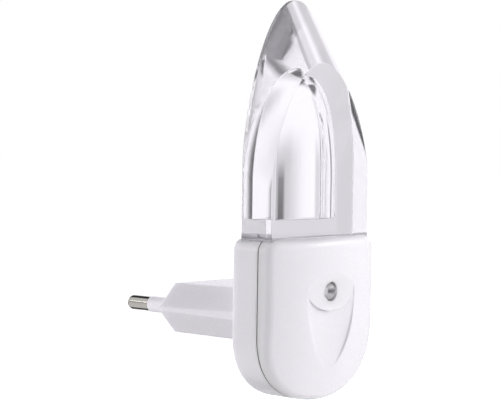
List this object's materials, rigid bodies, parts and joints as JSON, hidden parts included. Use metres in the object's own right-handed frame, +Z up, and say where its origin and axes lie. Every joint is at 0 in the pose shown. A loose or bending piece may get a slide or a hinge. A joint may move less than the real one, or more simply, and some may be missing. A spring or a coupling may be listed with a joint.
{
  "type": "plug in night light",
  "caption": "Plug-in night light with a flat two-pin plug body, a rounded white housing with a dusk sensor in a dished front, and a clear flame-shaped light guide on top.",
  "frame": {"origin": "centre of the plug's contact face, between its two pins", "axes": "+Y along the pins into the wall socket, +Z up towards the light guide's tip, +X to the right of someone facing the wall"},
  "size_m": [0.0428, 0.0662, 0.1061],
  "materials": {
    "housing": "gloss",
    "clear_acrylic": "polished clear",
    "contact_metal": "nickel plated",
    "sleeve": "satin",
    "board": "solder mask",
    "clear_lens": "polished clear",
    "white_inner": "matt",
    "black_inner": "matt",
    "capacitor_box": "satin",
    "capacitor_can": "sleeved",
    "resistor_body": "lacquered",
    "lead_wire": "satin",
    "screw_steel": "zinc plated"
  },
  "bodies": {
    "root": {"rear_shell": "housing", "front_cover": "housing", "light_guide": "clear_acrylic", "left_pin": "contact_metal", "right_pin": "contact_metal", "left_pin_sleeve": "sleeve", "right_pin_sleeve": "sleeve", "light_sensor": "clear_lens", "sensor_shroud": "black_inner", "circuit_board": "board", "left_led": "clear_lens", "right_led": "clear_lens", "led_holder": "white_inner", "dropper_capacitor": "capacitor_box", "smoothing_capacitor": "capacitor_can", "bridge_rectifier": "black_inner", "transistor": "black_inner", "fusible_resistor": "resistor_body", "bleed_resistor": "resistor_body", "base_resistor": "resistor_body", "left_lead": "lead_wire", "right_lead": "lead_wire", "housing_screws": "screw_steel"}
  },
  "joints": []
}
